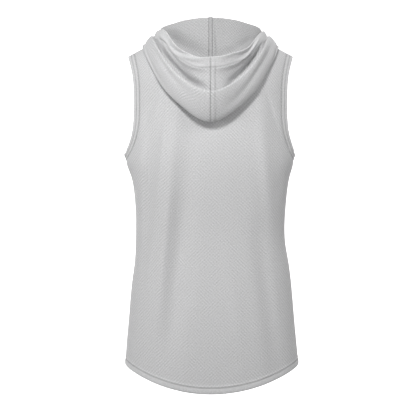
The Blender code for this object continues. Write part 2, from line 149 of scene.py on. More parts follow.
# ---- the hood's rails ----
# Angle round the neck (0 = middle of the back, 180 = middle of the front), distance from the neck's axis,
# height. In the order in which the cloth passes over them, from the neck seam to the rim.
HOOD_RAILS = {
    "stand": [
        (0, 0.05, 0.01), (24, 0.053, 0.01), (48, 0.062, 0.01), (75, 0.078, 0.009), (90, 0.0815, 0.007),
        (110, 0.0825, -0.001), (125, 0.0845, -0.0145), (145, 0.088, -0.043), (162, 0.0905, -0.072),
        (180, 0.0925, -0.0955)],
    "roll": [
        (0, 0.056, 0.032), (34, 0.058, 0.0306), (52, 0.068, 0.0274), (68, 0.0807, 0.0222),
        (77, 0.089, 0.0194), (90, 0.094, 0.015), (110, 0.0925, 0.005), (125, 0.093, -0.008),
        (145, 0.094, -0.037), (162, 0.095, -0.065), (180, 0.0955, -0.0915)],
    "inside high": [
        (0, 0.0655, 0.002), (24, 0.0662, 0.004), (48, 0.076, 0.006), (60, 0.0835, 0.008),
        (75, 0.096, 0.009), (90, 0.101, 0.006), (110, 0.099, -0.003), (125, 0.099, -0.0175),
        (145, 0.099, -0.047), (162, 0.099, -0.074), (180, 0.0985, -0.0945)],
    "inside middle": [
        (0, 0.0905, -0.065), (24, 0.0925, -0.055), (36, 0.0955, -0.048), (48, 0.0985, -0.036),
        (60, 0.0965, -0.018), (75, 0.105, -0.007), (90, 0.1095, -0.006), (110, 0.1085, -0.016),
        (125, 0.1065, -0.031), (145, 0.1035, -0.059), (162, 0.1015, -0.083), (180, 0.0993, -0.098)],
    "inside low": [
        (0, 0.103, -0.138), (24, 0.1085, -0.118), (36, 0.1135, -0.098), (48, 0.1195, -0.071),
        (60, 0.124, -0.046), (75, 0.122, -0.0215), (90, 0.122, -0.0115), (110, 0.12, -0.025),
        (125, 0.115, -0.045), (145, 0.108, -0.072), (162, 0.104, -0.092), (180, 0.1003, -0.1015)],
    "lowest": [
        (0, 0.1175, -0.169), (12, 0.1185, -0.162), (24, 0.1215, -0.1434), (36, 0.1255, -0.1218),
        (48, 0.13, -0.0925), (57, 0.1323, -0.0661), (69, 0.133, -0.0389), (80, 0.1325, -0.023),
        (90, 0.132, -0.0165), (110, 0.13, -0.0355), (125, 0.123, -0.059), (145, 0.113, -0.084),
        (162, 0.107, -0.0995), (180, 0.1028, -0.1045)],
    "band": [
        (0, 0.137, -0.146), (24, 0.136, -0.12), (45, 0.1365, -0.068), (57, 0.133, -0.044),
        (69, 0.129, -0.024), (80, 0.1255, -0.0115), (90, 0.125, -0.0075), (110, 0.1245, -0.024),
        (125, 0.1215, -0.044), (145, 0.115, -0.074), (162, 0.11, -0.096), (180, 0.1055, -0.1025)],
    "ridge": [
        (0, 0.146, -0.1155), (13, 0.1436, -0.1047), (22, 0.139, -0.0906), (33, 0.137, -0.0683),
        (45, 0.1336, -0.0397), (63, 0.1208, -0.0125), (75, 0.117, -0.004), (90, 0.116, 0.002),
        (110, 0.1165, -0.0125), (125, 0.117, -0.031), (145, 0.114, -0.064), (162, 0.111, -0.09),
        (180, 0.106, -0.0995)],
    "pocket": [
        (0, 0.13, -0.133), (11, 0.1275, -0.126), (22, 0.1215, -0.114), (33, 0.1235, -0.09),
        (48, 0.124, -0.057), (65, 0.115, -0.018), (78, 0.112, -0.004), (90, 0.111, 0.002),
        (110, 0.1115, -0.0095), (125, 0.113, -0.025), (145, 0.112, -0.057), (162, 0.1105, -0.085),
        (180, 0.106, -0.097)],
    "near wall": [
        (0, 0.1215, -0.098), (11, 0.12, -0.093), (22, 0.114, -0.085), (33, 0.1145, -0.066),
        (48, 0.1165, -0.037), (65, 0.1105, -0.007), (78, 0.108, 0.003), (90, 0.107, 0.006),
        (110, 0.107, -0.004), (125, 0.109, -0.018), (145, 0.1095, -0.05), (162, 0.11, -0.08),
        (180, 0.1058, -0.0945)],
    "rim": [
        (0, 0.13, -0.0503), (10, 0.13, -0.0483), (20, 0.128, -0.0415), (32, 0.1233, -0.0336),
        (45, 0.113, -0.0176), (65, 0.106, 0.004), (78, 0.105, 0.0095), (90, 0.104, 0.0105),
        (110, 0.1035, 0.002), (125, 0.105, -0.011), (145, 0.107, -0.043), (162, 0.109, -0.075),
        (180, 0.105, -0.092)],
}
# On the left the rim is drawn up straight: angle, extra height.
LEFT_RIM_LIFT = [
    (0, 0), (20, -0.001), (33, 0.008), (46, 0.0135), (58, 0.011), (70, 0.003), (84, 0), (110, 0), (145, 0),
    (180, 0)]
# Hood creases: angle and share of the section at one end, the same at the other end, half-width, how far out.
CREASE_ANGLE = 60
HOOD_CREASES_LEFT = [
    (8, 1.020, 66, 0.900, 0.009, -0.0026),
    (2, 1.000, 52, 0.935, 0.012, 0.0016),
    (3, 0.872, 52, 0.878, 0.014, -0.0076),
    (30, 0.900, 60, 0.930, 0.013, 0.0018),
    (12, 0.702, 60, 0.708, 0.014, -0.0026),
    (30, 0.640, 120, 0.668, 0.012, -0.0018),
    (95, 0.600, 170, 0.700, 0.020, 0.0014),
    (2, 0.300, 66, 0.235, 0.030, 0.0056),
    (0, 0.940, 60, 0.945, 0.016, 0.0034),
]
HOOD_CREASES_RIGHT = [
    (8, 0.672, 72, 0.700, 0.017, -0.0030),
    (14, 0.874, 60, 0.876, 0.018, -0.0115),
    (40, 0.620, 130, 0.660, 0.012, -0.0018),
    (13, 0.960, 20, 1.004, 0.008, -0.0016),
    (19, 0.966, 26, 1.006, 0.007, -0.0014),
    (25, 0.958, 33, 1.004, 0.008, -0.0018),
    (32, 0.962, 40, 1.006, 0.007, -0.0014),
    (38, 0.952, 48, 1.000, 0.008, -0.0016),
    (90, 0.610, 168, 0.700, 0.020, 0.0014),
    (22, 0.250, 66, 0.330, 0.022, -0.0036),
    (2, 0.310, 66, 0.250, 0.028, 0.0054),
    (0, 0.940, 60, 0.945, 0.016, 0.0034),
]

# ---- how finely the cloth is divided ----
NECK_ANGLES = np.concatenate([[0, 0.35, 0.7, 1.1, 1.6, 2.2, 3.0, 4.0, 5.2], np.linspace(6.8, 90, 28)])
NECK_STEPS = len(NECK_ANGLES) - 1
SIDE_STEPS = 38             # columns from the neck to the side
YOKE_ROWS = 50
ARMHOLE_ROWS = 40
BODY_ROWS = 120
HEM_ROWS = 16
HEM_ZONE = 0.020            # height above the bottom edge that the close rows cover
HOOD_ROWS = 260
EDGE_ARC = 4                # rows that round a folded edge

# ---- sewing ----
THREAD = 0.00028            # half the thickness of a stitch
THREAD_LIFT = 0.6           # share of it by which a stitch's middle stands over the cloth
STRIP_THREAD_LIFT = 0.5     # the same on the seam strip
STITCH = 0.0026
STITCH_PITCH = 0.0033
STITCH_RINGS, STITCH_SIDES = 5, 6
STITCH_TAPER = 0.8          # the higher, the thinner a stitch's ends
HEM_GROOVE = 0.0104         # height of the hem's stitch line above the edge
HEM_RIDGE = 0.0134          # height of the soft ridge above that line
TURN_BLEND = 0.0012         # half the width over which a turned edge thins out
PUCKER_PITCH = 0.006        # mean length of the puckers along a seam, a hem and the binding
HEM_PUCKER_PITCH = 0.0045
BINDING_PUCKER_PITCH = 0.005
BINDING_PUCKER = 0.00018    # height of the binding's puckers, past this share of its width:
BINDING_PUCKER_START = 0.6
BINDING_LINE = 0.52         # share of its width where it is stitched
BINDING_POINTS = 13         # on each face, across its width
RELIEF_FADE = 0.003         # distance from a panel's sides over which its relief comes in
HEM_SEED, SIDE_SEED, BINDING_SEED, RIM_SEED = 11, 21, 31, 41
WANDER_PITCH = (0.35, 1.9)  # between these the waves of an uneven line are drawn
SEAM_STRIP_HALF = 0.0043    # the pressed seam inside the hood
SEAM_STRIP_LINE = 0.0032    # its two stitch lines, off the seam
SEAM_STRIP_HEIGHT = 0.0012
SEAM_STRIP_SUNK = 0.0002    # how deep its underside lies in the cloth
SEAM_STRIP_SQUARE = 12      # exponent of its section: the higher, the squarer
SEAM_STRIP_POINTS = 33      # across each face
SEAM_STRIP_START = 2        # row of the hood where it begins
BOW_COLUMN = 7              # column of the hood that gives the bend of the cloth beside the seam
ALLOWANCE = 0.0085          # the hood's seam allowance is stitched down this far to the right of the seam

# Profiles across a seam or edge: each row is a bell, with its height, its place and its half-width.
SEAM_RELIEF = [(-0.0006, 0, 0.0022)]
SEAM_PUCKERS = [(0.00025, 0.004, 0.005)]
HEM_RELIEF = [(-0.0007, HEM_GROOVE, 0.0011), (0.0006, HEM_RIDGE, 0.0016), (0.0005, 0.005, 0.0045)]
HEM_PUCKERS = [(0.00022, 0.009, 0.006)]
RIM_RELIEF = [(-0.0005, HOOD_HEM, 0.0012), (0.0003, HOOD_HEM + 0.003, 0.002)]
RIM_PUCKERS = [(0.00025, HOOD_HEM / 2, HOOD_HEM / 2)]
CENTRE_RELIEF = [(-0.0004, 0, 0.0015)]
ALLOWANCE_RELIEF = [(-0.0006, ALLOWANCE, 0.0012)]
ALLOWANCE_SWELL = 0.0003    # the cloth over the allowance stands out this far
STRIP_RELIEF = [(-0.0007, SEAM_STRIP_LINE, 0.0006), (-0.0003, 0, 0.0006)]
BINDING_RELIEF = [(-0.42, BINDING_LINE, 0.07), (-0.25, 0.04, 0.06)]     # in shares, as BINDING_LINE

# The same for the painted shade along stitch lines, seams and edges, which the material shows as darker
# lines. The hem's negative bell on its ridge is a painted highlight.
HEM_PAINTED_SHADE = [(1, HEM_GROOVE, 0.0012), (-0.45, HEM_RIDGE, 0.0014), (0.5, 0, 0.0014)]
SIDE_PAINTED_SHADE = [(0.8, 0, 0.0016)]
RIM_PAINTED_SHADE = [(0.7, HOOD_HEM, 0.0012)]
CENTRE_PAINTED_SHADE = [(0.7, 0, 0.0012)]
ALLOWANCE_PAINTED_SHADE = [(0.6, ALLOWANCE, 0.0012)]
STRIP_PAINTED_SHADE = [(0.7, SEAM_STRIP_LINE, 0.0006), (0.7, SEAM_STRIP_HALF, 0.06 * SEAM_STRIP_HALF)]
BINDING_PAINTED_SHADE = [(0.9, BINDING_LINE, 0.10), (1, 0.02, 0.10)]
WRONG_SIDE_PAINTED_SHADE = 0.74              # painted shade over the knit's wrong side, this share of a stitch line's, which darkens the hood's inside
STRIP_DARKER = 0.25           # and the seam strip on it drawn this much darker again

# ---- lattice of the knit ----
LATTICE_PITCH = 0.0047
HOOD_GRAIN_TURN = 0.58      # share of the hood's section from which the lattice follows the rim, not the neck
HOOD_GRAIN_BLEND = 0.06
STRIP_TURNED, BINDING_TURNED = 0.8, 0.75    # how plain the cloth of the seam strip and the binding is
RIB_WAVER = 1.6             # how far the ribs stray from straight lines
RIB_PATCHES = 5.0           # how strongly the two families trade places in patches
RIB_TRADE = 7.0             # and from one side of the garment to the other, for each metre
RIB_LEAST = 0.25            # what is left of the weaker family
RIB_WEAR, RIB_CLEAR = 3.5, 0.55             # how uneven and how clear the lattice is
RIB_FAINT = 0.2             # what is left of it where it is faintest
RIB_MIDDLE = 0.6            # taken off, so that the lattice brightens the cloth as much as it darkens it
RIB_SHADE, SPECK_SHADE, PAINTED_SHADE_SHARE, THREAD_SHADE = 0.24, 0.58, 0.34, 0.3   # changes of the colour; the third is how much of it the painted shade takes
RIB_HEIGHT, SPECK_HEIGHT = 0.6, 0.5         # shares of the bump's height
BUMP_HEIGHT, BUMP_STRENGTH = 0.0006, 0.35


# ---- curves ----
def spline(knots, values, at):
    """The natural cubic through values at knots, read at the places in at."""
    knots, values, at = np.asarray(knots, float), np.asarray(values, float), np.asarray(at, float)
    gap = np.diff(knots)
    matrix = np.eye(len(knots))
    right = np.zeros_like(values)
    for i in range(1, len(knots) - 1):
        matrix[i, i - 1:i + 2] = gap[i - 1], 2 * (gap[i - 1] + gap[i]), gap[i]
        right[i] = 6 * ((values[i + 1] - values[i]) / gap[i] - (values[i] - values[i - 1]) / gap[i - 1])
    bend = np.linalg.solve(matrix, right)
    i = np.clip(np.searchsorted(knots, at) - 1, 0, len(gap) - 1)
    spread = at.shape + (1,) * (values.ndim - 1)
    h = gap[i].reshape(spread)
    t = (at - knots[i]).reshape(spread) / h
    curve = (1 - t) * values[i] + t * values[i + 1]
    return curve + h * h / 6 * (((1 - t) ** 3 - (1 - t)) * bend[i] + (t ** 3 - t) * bend[i + 1])


def unit(vectors):
    """The vectors at length 1."""
    return vectors / np.linalg.norm(vectors, axis=-1, keepdims=True)


def bell(distance, width):
    """1 at distance 0, falling away on both sides, and 1/e at the width."""
    return np.exp(-(distance / width) ** 2)


def profile(rows, distance):
    """Sum of a profile's bells at the given distances from the seam or edge."""
    return sum(height * bell(distance - place, width) for height, place, width in rows)


def turned_share(distance, line):
    """1 where the cloth is turned up, between its edge and the stitch line, and 0 past the line."""
    return 0.5 - 0.5 * np.tanh((distance - line) / TURN_BLEND)


def along(points, axis=0):
    """Length run along the grid's lines in the given direction, from its first line."""
    steps = np.linalg.norm(np.diff(points, axis=axis), axis=-1)
    start = np.zeros_like(np.take(steps, [0], axis=axis))
    return np.concatenate([start, np.cumsum(steps, axis=axis)], axis=axis)


def wander(at, seed, waves=7):
    """A smooth uneven line between about -1 and 1: a sum of sines with drawn lengths and starts."""
    draw = np.random.default_rng(seed)
    pitch = draw.uniform(*WANDER_PITCH, waves)
    start = draw.uniform(0, 2 * np.pi, waves)
    return np.sin(at[..., None] * pitch + start).sum(axis=-1) / np.sqrt(waves)


# ---- torso form ----
def superellipse(q, power):
    """Height of a superellipse quarter of size 1 at the distance q from its middle."""
    return (1 - np.clip(np.abs(q), 0, 1) ** power) ** (1 / power)


def ridge(x):
    """Height of the shoulder ridge: level over the neck, then falling outwards ever more steeply."""
    out = np.abs(x) - NECK_HALF
    out = (out + np.sqrt(out ** 2 + RIDGE_BLEND ** 2)) / 2
    return -SHOULDER_SLOPE * out - SHOULDER_BEND * out ** 2


def torso(column, z):
    """A column of the torso's table, read at the given heights."""
    return spline(TORSO[:, 0], TORSO[:, column], z)


def half_width(x, z):
    """Half-width of the form, on the side on which x lies."""
    return np.where(x < 0, torso(LEFT_HALF, z), torso(RIGHT_HALF, z))


def flare(x, z):
    """How far the panel's edge stands out of the form near the underarm: a bell over the height."""
    return np.where(x < 0, FLARE_LEFT, FLARE_RIGHT) * bell(z - UNDERARM, FLARE_REACH)


def edge_half_width(x, z):
    """Half-width where the panel ends: at the armhole seam, and below the underarm at the side seam."""
    side_seam = half_width(x, z) + flare(x, z)
    near = np.clip((UNDERARM + FLARE_REACH - z) / FLARE_REACH, 0, 1)
    at_underarm = np.full_like(z, UNDERARM)
    armhole = spline(*ARMHOLE.T, np.clip(z, UNDERARM, ARMHOLE[-1, 0]))
    armhole += near * (half_width(x, at_underarm) + flare(x, at_underarm) - ARMHOLE[0, 1])
    return np.where(z > UNDERARM, armhole, side_seam)


def torso_depth(x, z, side):
    """Distance of the form's face from the plane y = 0, on the back or the front. Where the edge flares out,
    x is first drawn in by as much, so the section keeps its roundness."""
    depth = torso(BACK_DEPTH if side == BACK else FRONT_DEPTH, z)
    power = torso(SECTION_POWER, z)
    crown = superellipse(1 - (ridge(x) - z) / CROWN_DEPTH, CROWN_POWER)
    crown = np.where(ridge(x) - z >= CROWN_DEPTH, 1.0, crown)
    unflared = np.abs(x) - flare(x, z) * (np.abs(x) / (half_width(x, z) + flare(x, z))) ** FLARE_FADE
    return depth * superellipse(unflared / half_width(x, z), power) * crown


def neckline(x, side):
    """Height of a panel's top edge: the neckline's scoop, and outside it the shoulder ridge."""
    depth, first, second = NECK_BACK if side == BACK else NECK_FRONT
    across = np.clip(np.abs(x) / NECK_HALF, 0, 1)
    return ridge(x) - depth * (1 - across ** first) ** second


def neck_columns(side):
    """Places across the neck whose edge points lie at even angles round the neck's axis."""
    x = np.linspace(0, NECK_HALF, 400)
    angle = np.degrees(np.arctan2(x, torso_depth(x, neckline(x, side), side)))
    return np.interp(NECK_ANGLES, angle, x)


def folds(x, z, table):
    """Sum of soft ridges and troughs: each a bell across its line that swells and dies along it."""
    total = np.zeros_like(x)
    for x_top, z_top, x_low, z_low, width, height in table:
        share = np.clip((z_top - z) / (z_top - z_low), 0, 1)
        across = x - (x_top + (x_low - x_top) * share)
        total += height * np.sin(np.pi * share) ** FOLD_SWELL * bell(across, width)
    return total


def face_depth(x, z, side):
    """The torso's depth with the panel's folds and creases, which die out towards the side seams."""
    share = 1 - np.clip(np.abs(x) / edge_half_width(x, z), 0, 1) ** FOLD_FADE
    table = BACK_FOLDS + BACK_CREASES if side == BACK else FRONT_FOLDS + FRONT_CREASES
    return torso_depth(x, z, side) + folds(x, z, table) * share


def face_normals(x, z, side, step=1e-5):
    """Directions square to the face, from its depth a small step away in x and in height."""
    slope_x = (face_depth(x + step, z, side) - face_depth(x - step, z, side)) / (2 * step)
    slope_z = (face_depth(x, z + step, side) - face_depth(x, z - step, side)) / (2 * step)
    return unit(np.stack([-slope_x, np.full_like(x, side), -slope_z], axis=-1))


def panel_grid(side):
    """Outer face of the back or front: points [row from top edge to hem, column], normals, height above the
    hem's edge."""
    neck = neck_columns(side) / SHOULDER_HALF
    flank = np.sin(np.linspace(0, np.pi / 2, SIDE_STEPS + 1))[1:]
    half = np.concatenate([neck, neck[-1] + (1 - neck[-1]) * flank])
    s = np.concatenate([-half[:0:-1], half])        # share of the half-width, -1 on the left to 1
    hem = HEM_SIDE - (HEM_BACK_DROP if side == BACK else HEM_FRONT_DROP) * (1 - s ** 2)
    lines = [neckline(s * SHOULDER_HALF, side), np.full_like(s, YOKE_LINE), np.full_like(s, UNDERARM),
             hem + HEM_ZONE, hem]
    z = [lines[0][None]]
    for above, below, rows in zip(lines, lines[1:], (YOKE_ROWS, ARMHOLE_ROWS, BODY_ROWS, HEM_ROWS)):
        share = (np.arange(1, rows + 1) / rows)[:, None]
        if below is lines[1]:
            share = share ** 2                      # evens out the rows where the shoulder rounds over
        z.append(above + (below - above) * share)
    z = np.concatenate(z)
    x = s * edge_half_width(s, z)
    points = np.stack([x, side * (face_depth(x, z, side) + SEAM_GAP / 2), z], axis=-1)
    normals = face_normals(x, z, side)
    # at the shoulder and side seams the wall ends square to the plane in which the panels meet
    shoulder = np.abs(s) >= NECK_HALF / SHOULDER_HALF - 1e-6
    normals[0, shoulder, 1] = 0
    normals[YOKE_ROWS + ARMHOLE_ROWS:, [0, -1], 1] = 0
    return points, unit(normals), z - hem


# ---- meshes ----
def new_piece(name, points, faces, cloth=None, painted_shade=None):
    """An object of the given points and faces, smooth, on the root. Two attributes keep its cloth coordinates
    and its painted shade, which the material takes off the colour: shade painted along stitch lines, seams
    and edges and over the knit's wrong side, and where it is below 0 a painted highlight."""
    mesh = bpy.data.meshes.new(name)
    mesh.from_pydata(points.reshape(-1, 3).tolist(), [], faces)
    if cloth is not None:
        mesh.attributes.new("cloth", "FLOAT_VECTOR", "POINT").data.foreach_set(
            "vector", cloth.reshape(-1).astype(np.float32))
        mesh.attributes.new("painted_shade", "FLOAT", "POINT").data.foreach_set(
            "value", painted_shade.reshape(-1).astype(np.float32))
    mesh.shade_smooth()
    mesh.validate()
    piece = bpy.data.objects.new(name, mesh)
    bpy.context.scene.collection.objects.link(piece)
    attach(piece, "root")
    return piece


def grid_faces(rows, columns, ring_rows=False, ring_columns=False):
    """Quads between neighbouring points of a grid, whose last row or column may join the first."""
    index = np.arange(rows * columns).reshape(rows, columns)
    if ring_rows:
        index = np.concatenate([index, index[:1]])
    if ring_columns:
        index = np.concatenate([index, index[:, :1]], axis=1)
    return np.stack([index[:-1, :-1], index[1:, :-1], index[1:, 1:], index[:-1, 1:]], axis=-1).reshape(-1, 4)


def cloth_shell(name, outer, inner, cloth, painted_shade, flip):
    """Closed shell: down the outer face, round the lower edge in a half circle, and up the inner face. A
    ladder of quads closes each side, with one face at the half circle's end."""
    middle, reach = (outer[-1] + inner[-1]) / 2, (outer[-1] - inner[-1]) / 2
    down = unit(outer[-1] - outer[-2]) * np.linalg.norm(reach, axis=-1, keepdims=True)
    turn = np.linspace(0, np.pi, EDGE_ARC + 1)[1:-1, None, None]
    rim = middle + reach * np.cos(turn) + down * np.sin(turn)
    points = np.concatenate([outer, rim, inner[::-1]])
    cloth = np.concatenate([cloth, np.repeat(cloth[-1:], EDGE_ARC - 1, axis=0), cloth[::-1]])
    # the inner face, the knit's wrong side, gets painted shade over all of it
    painted_shade = np.concatenate([painted_shade, np.repeat(painted_shade[-1:], EDGE_ARC - 1, axis=0), painted_shade[::-1] + WRONG_SIDE_PAINTED_SHADE])
    rows, columns = points.shape[:2]
    faces = grid_faces(rows, columns, ring_rows=True)
    index = np.arange(rows * columns).reshape(rows, columns)
    down_side, up_side = index[:len(outer)], index[::-1][:len(outer)]
    ladder = np.stack([down_side[:-1], up_side[:-1], up_side[1:], down_side[1:]], axis=-1)
    cap = index[len(outer) - 1:len(outer) + EDGE_ARC]
    faces = (faces.tolist() + ladder[:, 0].tolist() + ladder[:, -1, ::-1].tolist()
             + [cap[:, 0].tolist(), cap[::-1, -1].tolist()])
    if flip:
        faces = [face[::-1] for face in faces]
    return new_piece(name, points, faces, cloth, painted_shade)


# ---- body panels ----
def make_panel(name, node, side):
    """One body panel on its fine grid. Returns the piece, its outer face, normals and heights above the hem's
    edge."""
    points, normals, height = panel_grid(side)
    middle = points.shape[1] // 2
    run = along(points, axis=1)
    fall = along(points, axis=0)
    edge = np.minimum(run[:, -1:] - run, run - run[:, :1])
    relief = profile(HEM_RELIEF, height) + profile(SEAM_RELIEF, edge)
    relief += profile(HEM_PUCKERS, height) * wander(run / HEM_PUCKER_PITCH, HEM_SEED + side)
    relief += profile(SEAM_PUCKERS, edge) * wander(fall / PUCKER_PITCH, SIDE_SEED + side)
    relief *= np.clip(edge / RELIEF_FADE, 0, 1)
    points = points + normals * relief[..., None]
    turned = turned_share(height, HEM_GROOVE)
    extra = ((TURNED - CLOTH) / 2 * turned)[..., None]
    outer, inner = points + normals * extra, points - normals * (CLOTH + extra)
    cloth = np.stack([run - run[:, middle:middle + 1], fall - fall[YOKE_ROWS], turned], axis=-1)
    # painted shade along the hem's stitch line and edge and along the side seams, and a painted highlight on
    # the hem's ridge
    painted_shade = profile(HEM_PAINTED_SHADE, height) + profile(SIDE_PAINTED_SHADE, edge) * (height > HEM_GROOVE)
    piece = cloth_shell(name, outer, inner, cloth, painted_shade, flip=side == FRONT)
    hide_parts(node)
    return piece, outer, normals, height


# ---- armhole strips ----
def strip_profile():
    """Section of the folded strip: share across and distance off the middle, out on the outer face and back
    on the inner one. It is half as thick at both ends, and thinner at its stitches."""
    share = np.linspace(0, 1, BINDING_POINTS)
    swell = 0.5 + 0.5 * np.sqrt(np.clip(1 - np.abs(2 * share - 1) ** 5, 0, 1))
    half = BINDING_CLOTH / 2 * swell * (1 + profile(BINDING_RELIEF, share))
    return np.concatenate([share, share[::-1]]), np.concatenate([half, -half[::-1]])


def make_strip(name, node, back, front, column):
    """The armhole's folded strip: its section is carried round the panels' edges, their column 0 on the left
    or -1 on the right. Returns the piece, its stitch line and the line's normals."""
    rows = YOKE_ROWS + ARMHOLE_ROWS + 1
    points = np.concatenate([back[1][:rows, column], front[1][rows - 2:0:-1, column]])
    normals = np.concatenate([back[2][:rows, column], front[2][rows - 2:0:-1, column]])
    points[[0, rows - 1], 1] = 0                    # at the shoulder and underarm, between the panels
    step = np.roll(points, -1, axis=0) - np.roll(points, 1, axis=0)
    out = unit(np.cross(step, normals))
    right = np.sign(points[0, 0])
    out *= -right
    out[:, 0] += right * BINDING_FLARE * np.abs(out[:, 1])
    out = unit(out)
    normals = unit(normals - out * np.sum(normals * out, axis=1, keepdims=True))
    around = along(points)
    share, off = strip_profile()
    across = SEAM_GAP + BINDING_WIDTH * share
    puckers = BINDING_PUCKER * wander(around[:, None] / BINDING_PUCKER_PITCH, BINDING_SEED)
    lift = BINDING_PROUD - BINDING_CLOTH / 2 + off + puckers * (share > BINDING_PUCKER_START)
    grid = points[:, None] + out[:, None] * across[:, None] + normals[:, None] * lift[..., None]
    faces = grid_faces(*grid.shape[:2], ring_rows=True, ring_columns=True)
    if right > 0:
        faces = faces[:, ::-1]
    cloth = np.stack([np.broadcast_to(across, lift.shape), np.broadcast_to(around[:, None], lift.shape),
                      np.full(lift.shape, BINDING_TURNED)], axis=-1)
    # painted shade along the binding's stitch line and its seam with the panel
    painted_shade = np.broadcast_to(profile(BINDING_PAINTED_SHADE, share), lift.shape)
    piece = new_piece(name, grid, faces.tolist(), cloth, painted_shade)
    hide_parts(node)
    return piece, points + out * (SEAM_GAP + BINDING_WIDTH * BINDING_LINE), normals


# ---- hood ----
def neck_edge(back, front):
    """Middle of the panels' neck edge from centre back to centre front on +X, its normals, its way out."""
    centre = NECK_STEPS + SIDE_STEPS
    top = slice(centre, centre + NECK_STEPS + 1)
    points = np.concatenate([back[0][0, top], front[0][0, top][-2::-1]])
    normals = np.concatenate([back[1][0, top], front[1][0, top][-2::-1]])
    out = unit(np.cross(normals, np.gradient(points, axis=0)))
    # of the two ways square to the edge, the one that goes up or in towards the neck's axis
    out *= np.sign(out[:, 2:] - 2 * np.sum(out[:, :2] * points[:, :2], axis=1, keepdims=True) / NECK_HALF)
    return points - normals * CLOTH / 2, normals, out


def hood_relief(angle, share, table):
    """Depth of the hood's creases: each a bell across a straight line over angle and share of the section. An
    angle of CREASE_ANGLE counts as much as the whole section."""
    total = np.zeros_like(angle)
    for angle_a, share_a, angle_b, share_b, width, height in table:
        way = np.array([(angle_b - angle_a) / CREASE_ANGLE, share_b - share_a])
        length = np.hypot(*way)
        way = way / length
        x, y = (angle - angle_a) / CREASE_ANGLE, share - share_a
        t = np.clip((x * way[0] + y * way[1]) / length, 0, 1)
        total += height * np.sin(np.pi * t) ** FOLD_SWELL * bell(x * way[1] - y * way[0], width)
    return total


def rail(rows, angle):
    """Distance and height of a rail at the given angles. Left and right halves meet level behind the neck."""
    rows = np.array(rows)
    even = np.concatenate([rows[:0:-1] * (-1, 1, 1), rows])
    return spline(even[:, 0], even[:, 1:], angle).T


def hood_grid(edge, side):
    """Middle of one half's cloth: points [row from neck seam to rim, column from centre seam to front],
    normals, cloth coordinates, distances to the centre seam and the rim, and the painted shade along its
    stitch lines."""
    middle, seam_normals, out = edge
    start = middle + out * SEAM_GAP
    angle = np.degrees(np.arctan2(start[:, 0], -start[:, 1]))
    angle[0], angle[-1] = 0, 180
    # each rail runs round the neck's axis, and a cubic crosses them all from the neck seam to the rim
    rails = [start]
    for name, rows in HOOD_RAILS.items():
        radius, height = rail(rows, angle)
        if name == "rim" and side == LEFT:
            lift = np.array(LEFT_RIM_LIFT)
            height = height + spline(lift[:, 0], lift[:, 1], angle)
        turn = np.radians(angle)
        rails.append(np.stack([radius * np.sin(turn), -radius * np.cos(turn), height], axis=-1))
    rails = np.array(rails)
    length = np.cumsum(np.append(0, np.linalg.norm(np.diff(rails[:, 0], axis=0), axis=1)))
    stops = np.linspace(0, length[-1], HOOD_ROWS + 1)
    points = spline(length, rails.reshape(len(rails), -1), stops).reshape(len(stops), -1, 3)
    points[:, 0, 0], points[:, -1, 0] = SEAM_GAP / 2, SEAM_GAP / 2
    normals = np.cross(np.gradient(points, axis=1), np.gradient(points, axis=0))
    normals[:, [0, -1], 0] = 0
    normals = unit(normals)
    normals[0] = seam_normals
    run = along(points, axis=1)
    to_rim = along(points[::-1], axis=0)[::-1]
    share = np.broadcast_to((stops / stops[-1])[:, None], run.shape)
    # creases, the turned rim, the centre seam, and on the right the stitched-down allowance
    creases = HOOD_CREASES_LEFT if side == LEFT else HOOD_CREASES_RIGHT
    relief = hood_relief(np.broadcast_to(angle, run.shape), share, creases)
    relief += profile(RIM_RELIEF, to_rim) + profile(CENTRE_RELIEF, run)
    relief += profile(RIM_PUCKERS, to_rim) * wander(run / PUCKER_PITCH, RIM_SEED + side)
    # painted shade along the rim's stitch line and the centre seam, and on the right along the allowance's
    # stitches
    painted_shade = profile(RIM_PAINTED_SHADE, to_rim) + profile(CENTRE_PAINTED_SHADE, run)
    if side == RIGHT:
        relief += profile(ALLOWANCE_RELIEF, run) + ALLOWANCE_SWELL * (run < ALLOWANCE)
        painted_shade += profile(ALLOWANCE_PAINTED_SHADE, run) * (to_rim > HOOD_HEM)
    relief[:, [0, -1]] = 0
    relief[0] = 0
    points = points + normals * relief[..., None]
    turned = turned_share(to_rim, HOOD_HEM)
    points[..., 0] *= side
    normals[..., 0] *= side
    # the lattice follows the neck seam at first and later the rim
    from_neck = along(points, axis=0)
    late = 0.5 + 0.5 * np.tanh((share - HOOD_GRAIN_TURN) / HOOD_GRAIN_BLEND)
    grain = from_neck + (from_neck[-1, 0] - to_rim - from_neck) * late
    cloth = np.stack([side * run, grain, turned], axis=-1)
    return points, normals, cloth, run, to_rim, painted_shade


def make_hood(name, node, edge, side):
    """One half of the hood. Returns the piece, its outer and inner face, normals, and distances to the centre
    seam and the rim."""
    points, normals, cloth, run, to_rim, painted_shade = hood_grid(edge, side)
    half = (CLOTH + (TURNED - CLOTH) * cloth[..., 2:]) / 2
    outer, inner = points + normals * half, points - normals * half
    piece = cloth_shell(name, outer, inner, cloth, painted_shade, flip=side == LEFT)
    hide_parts(node)
    return piece, outer, inner, normals, run, to_rim


# ---- stitches ----
def read_line(values, length, stops):
    """Values given along a line, read where it has run the given lengths."""
    return np.stack([np.interp(stops, length, column) for column in values.T], axis=-1)


